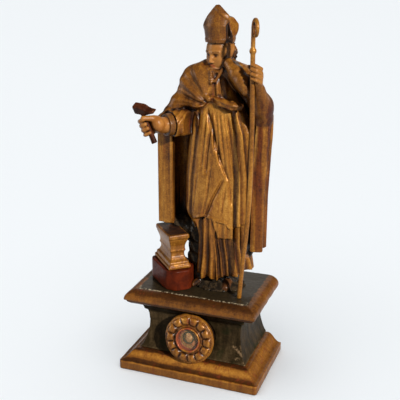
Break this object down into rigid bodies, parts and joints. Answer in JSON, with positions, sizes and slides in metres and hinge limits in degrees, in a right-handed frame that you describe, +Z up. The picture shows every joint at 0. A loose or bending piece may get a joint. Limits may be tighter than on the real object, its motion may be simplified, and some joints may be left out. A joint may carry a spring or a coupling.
{
  "type": "reliquary",
  "caption": "Carved, gilded wooden bishop with crozier and hammer beside an anvil, on a moulded plinth with a rosette framing a glazed relic.",
  "frame": {"origin": "middle of the plinth's footprint, on the surface that it stands on", "axes": "+Z up; the front with the rosette faces -Y; the crozier stands on the +X side and the anvil on the -X side"},
  "size_m": [0.18, 0.1172, 0.4438],
  "materials": {
    "plinth_gilding": "aged gilding over red bole, satin",
    "plinth_paint": "dark green-black paint, satin, worn at the edges",
    "rosette_gilding": "aged gilding, satin",
    "capsule_backing": "dark brown, matt",
    "capsule_glass": "clear, polished",
    "block_paint": "maroon paint, satin",
    "anvil_gilding": "aged gilding, rubbed dark on top",
    "figure_gilding": "aged gilding with dark glaze in the folds, flesh paint on the face and hands",
    "crozier_gilding": "aged gilding, satin",
    "hammer_paint": "dark red-brown paint, satin"
  },
  "bodies": {
    "root": {"plinth_base": "plinth_gilding", "plinth_die": "plinth_paint", "plinth_top": "plinth_gilding", "relic_backing": "capsule_backing", "rosette_frame": "rosette_gilding", "relic_glass": "capsule_glass", "anvil_block": "block_paint", "anvil": "anvil_gilding", "bishop": "figure_gilding", "crozier": "crozier_gilding", "hammer": "hammer_paint"}
  },
  "joints": []
}
